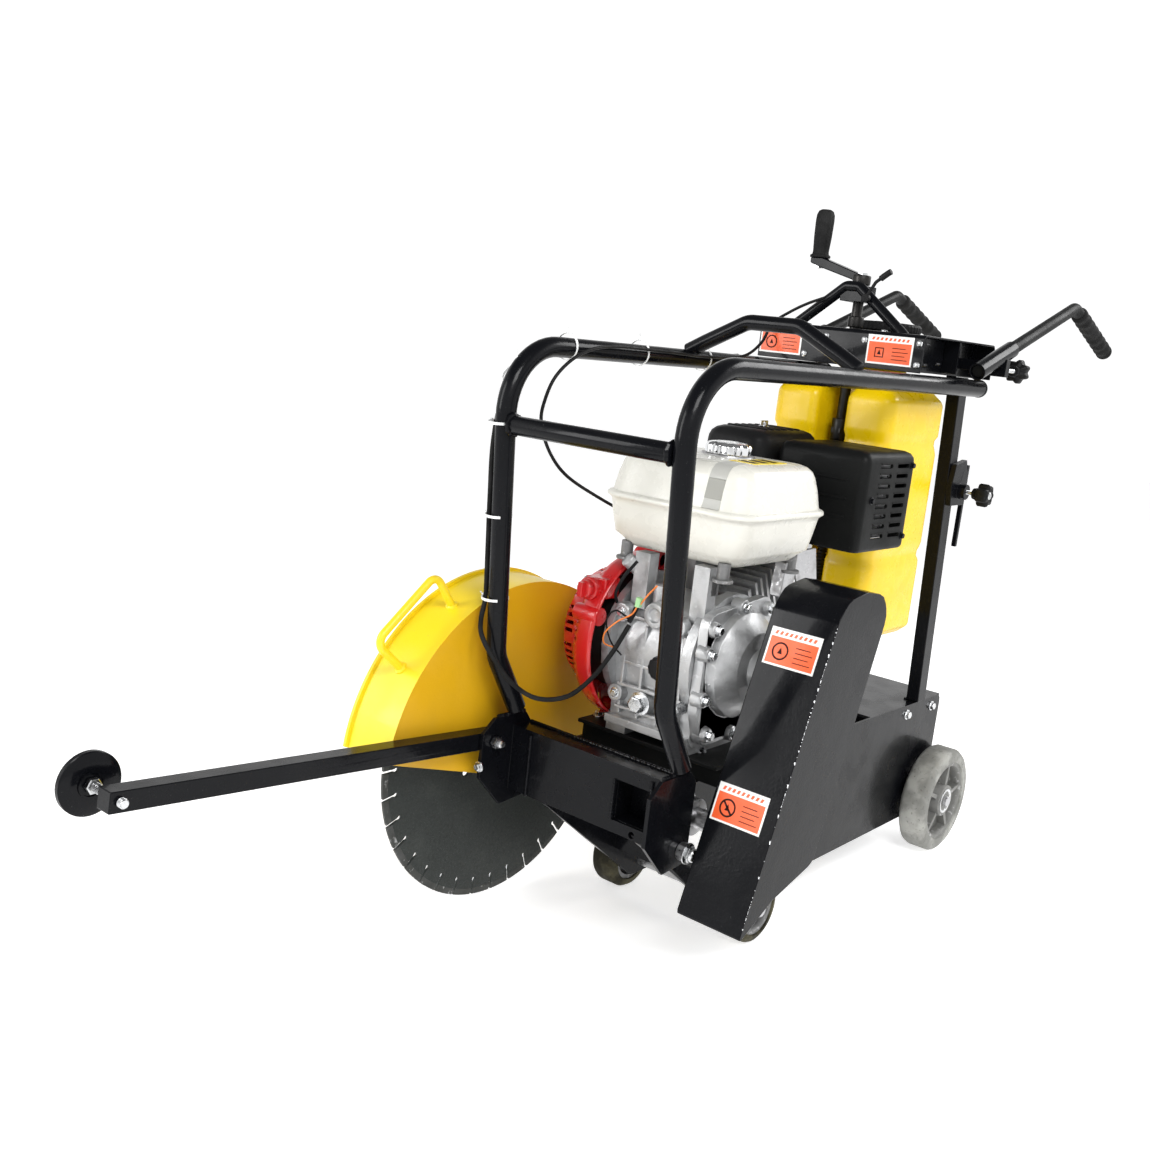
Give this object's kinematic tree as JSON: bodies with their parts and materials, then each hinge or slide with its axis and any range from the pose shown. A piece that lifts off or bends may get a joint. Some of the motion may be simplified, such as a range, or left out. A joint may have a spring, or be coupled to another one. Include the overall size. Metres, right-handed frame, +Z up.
{
  "type": "walk-behind concrete saw",
  "caption": "Petrol walk-behind saw: guarded side blade, belt drive, roll cage, water tank, crank depth control, folding pointer.",
  "frame": {"origin": "middle of the bounding box on the floor", "axes": "+X forward towards the pointer arm, +Y to the machine's left where the belt guard is, +Z up"},
  "size_m": [1.9826, 0.56, 1.1456],
  "materials": {
    "black_paint": "glossy black paint over welded steel",
    "yellow_paint": "satin yellow paint",
    "yellow_plastic": "moulded yellow polyethylene",
    "red_paint": "glossy red paint",
    "white_plastic": "off-white painted tank",
    "cast_aluminium": "rough die-cast aluminium",
    "steel": "machined steel",
    "chrome": "bright plating",
    "blade_steel": "dark coated blade steel",
    "rubber": "black rubber",
    "front_tread": "worn dark tread",
    "rear_tread": "dusty grey tread",
    "black_plastic": "moulded black plastic"
  },
  "bodies": {
    "chassis": {"main_frame": "black_paint", "front_beam": "black_paint", "cage_tube_left": "black_paint", "cage_tube_right": "black_paint", "cage_crossbar": "black_paint", "lifting_arch": "black_paint", "rear_post_left": "black_paint", "rear_post_right": "black_paint", "console_box": "black_paint", "control_arch": "black_paint", "post_clamp": "black_paint", "water_tank": "yellow_plastic", "engine_bed": "black_paint", "crankcase": "cast_aluminium", "side_cover": "cast_aluminium", "cylinder_block": "cast_aluminium", "rocker_cover": "cast_aluminium", "fan_cover": "red_paint", "recoil_housing": "red_paint", "recoil_grip": "black_plastic", "fuel_tank": "white_plastic", "air_cleaner": "black_plastic", "carburettor": "cast_aluminium", "muffler": "steel", "muffler_guard": "black_paint", "drive_belt": "rubber", "bearing_left": "steel", "bearing_right": "steel", "belt_guard": "black_paint", "carriage_pivot": "steel", "rear_axle": "steel", "throttle_cable": "rubber", "switch_cable": "rubber"},
    "blade_guard": {"blade_guard": "yellow_paint"},
    "depth_crank": {"depth_crank": "black_paint"},
    "crank_grip": {"crank_grip": "rubber"},
    "lift_tube": {"lift_tube": "steel"},
    "wheel_carriage": {"wheel_carriage": "black_paint", "front_axle": "steel"},
    "front_wheel_left": {"front_wheel_left": "front_tread"},
    "front_wheel_right": {"front_wheel_right": "front_tread"},
    "rear_wheel_left": {"rear_wheel_left": "rear_tread"},
    "rear_wheel_right": {"rear_wheel_right": "rear_tread"},
    "handlebar_left": {"handlebar_left": "black_paint"},
    "handlebar_right": {"handlebar_right": "black_paint"},
    "handle_knob_left": {"handle_knob_left": "black_plastic"},
    "handle_knob_right": {"handle_knob_right": "black_plastic"},
    "clamp_knob": {"clamp_knob": "black_plastic"},
    "pointer_arm": {"pointer_arm": "black_paint"},
    "pointer_wheel": {"pointer_wheel": "black_paint"},
    "throttle_lever": {"throttle_lever": "black_plastic"},
    "tank_lid": {"tank_lid": "black_plastic"},
    "fuel_cap": {"fuel_cap": "chrome"},
    "engine_switch": {"engine_switch": "red_paint"},
    "engine_rotor": {"engine_pulley": "steel"},
    "blade_arbor": {"blade_shaft": "steel", "outer_flange": "steel", "saw_blade": "blade_steel", "blade_pulley": "steel"}
  },
  "joints": [
    {"name": "blade_spin", "type": "hinge", "parent": "chassis", "child": "blade_arbor", "pos_m": [0.25371, -0.232, 0.25965], "axis": [0, 1, 0], "continuous": true},
    {"name": "engine_spin", "type": "hinge", "parent": "chassis", "child": "engine_rotor", "pos_m": [0.15171, 0.23, 0.46165], "axis": [0, 1, 0], "continuous": true},
    {"name": "guard_tilt", "type": "hinge", "parent": "chassis", "child": "blade_guard", "pos_m": [0.25371, -0.191, 0.25965], "axis": [0, 1, 0], "range_deg": [-30, 15]},
    {"name": "depth_crank_turn", "type": "hinge", "parent": "chassis", "child": "depth_crank", "pos_m": [-0.2703, -0.006, 0.99965], "axis": [0, 0, 1], "range_deg": [0, 7445]},
    {"name": "crank_grip_spin", "type": "hinge", "parent": "depth_crank", "child": "crank_grip", "pos_m": [-0.2703, -0.09, 1.09965], "axis": [0, 0, 1], "continuous": true},
    {"name": "lift_slide", "type": "slide", "parent": "chassis", "child": "lift_tube", "axis": [0, 0, 1], "range_m": [0, 0.2485]},
    {"name": "carriage_swing", "type": "hinge", "parent": "chassis", "child": "wheel_carriage", "pos_m": [0.2977, -0.006, 0.22565], "axis": [0, 1, 0], "range_deg": [0, 25]},
    {"name": "front_wheel_left_spin", "type": "hinge", "parent": "wheel_carriage", "child": "front_wheel_left", "pos_m": [0.0397, 0.118, 0.05565], "axis": [0, 1, 0], "continuous": true},
    {"name": "front_wheel_right_spin", "type": "hinge", "parent": "wheel_carriage", "child": "front_wheel_right", "pos_m": [0.0397, -0.13, 0.05565], "axis": [0, 1, 0], "continuous": true},
    {"name": "rear_wheel_left_spin", "type": "hinge", "parent": "chassis", "child": "rear_wheel_left", "pos_m": [-0.5813, 0.141, 0.09965], "axis": [0, 1, 0], "continuous": true},
    {"name": "rear_wheel_right_spin", "type": "hinge", "parent": "chassis", "child": "rear_wheel_right", "pos_m": [-0.5813, -0.153, 0.09965], "axis": [0, 1, 0], "continuous": true},
    {"name": "handlebar_left_slide", "type": "slide", "parent": "chassis", "child": "handlebar_left", "axis": [-0.9483, 0, 0.3173], "range_m": [-0.06, 0.06]},
    {"name": "handlebar_right_slide", "type": "slide", "parent": "chassis", "child": "handlebar_right", "axis": [-0.9483, 0, 0.3173], "range_m": [-0.06, 0.06]},
    {"name": "handle_knob_left_turn", "type": "hinge", "parent": "chassis", "child": "handle_knob_left", "pos_m": [-0.49029, 0.186, 0.91365], "axis": [-1, 0, 0], "range_deg": [0, 720]},
    {"name": "handle_knob_right_turn", "type": "hinge", "parent": "chassis", "child": "handle_knob_right", "pos_m": [-0.49029, -0.198, 0.91365], "axis": [-1, 0, 0], "range_deg": [0, 720]},
    {"name": "clamp_knob_turn", "type": "hinge", "parent": "chassis", "child": "clamp_knob", "pos_m": [-0.5083, 0.144, 0.69365], "axis": [0, 1, 0], "range_deg": [0, 720]},
    {"name": "pointer_fold", "type": "hinge", "parent": "chassis", "child": "pointer_arm", "pos_m": [0.3597, -0.176, 0.30265], "axis": [0, 1, 0], "range_deg": [-60, 30]},
    {"name": "pointer_wheel_spin", "type": "hinge", "parent": "pointer_arm", "child": "pointer_wheel", "pos_m": [0.9523, -0.232, 0.34283], "axis": [0, 1, 0], "continuous": true},
    {"name": "throttle_turn", "type": "hinge", "parent": "chassis", "child": "throttle_lever", "pos_m": [-0.22929, 0.028, 1.00365], "axis": [1, 0, 0], "range_deg": [-55, 0]},
    {"name": "tank_lid_turn", "type": "hinge", "parent": "chassis", "child": "tank_lid", "pos_m": [-0.3883, -0.006, 0.96465], "axis": [0, 0, 1], "range_deg": [0, 540]},
    {"name": "fuel_cap_turn", "type": "hinge", "parent": "chassis", "child": "fuel_cap", "pos_m": [0.09771, 0.014, 0.75765], "axis": [0, 0, 1], "range_deg": [0, 90]},
    {"name": "engine_switch_turn", "type": "hinge", "parent": "chassis", "child": "engine_switch", "pos_m": [0.2757, -0.086, 0.53965], "axis": [1, 0, 0], "range_deg": [0, 60]}
  ],
  "couplings": [
    {"joint": "engine_spin", "follows": "blade_spin", "ratio": 1.3571},
    {"joint": "lift_slide", "follows": "carriage_swing", "m_per_rad": 0.56837},
    {"joint": "depth_crank_turn", "follows": "carriage_swing", "ratio": 297.6}
  ]
}
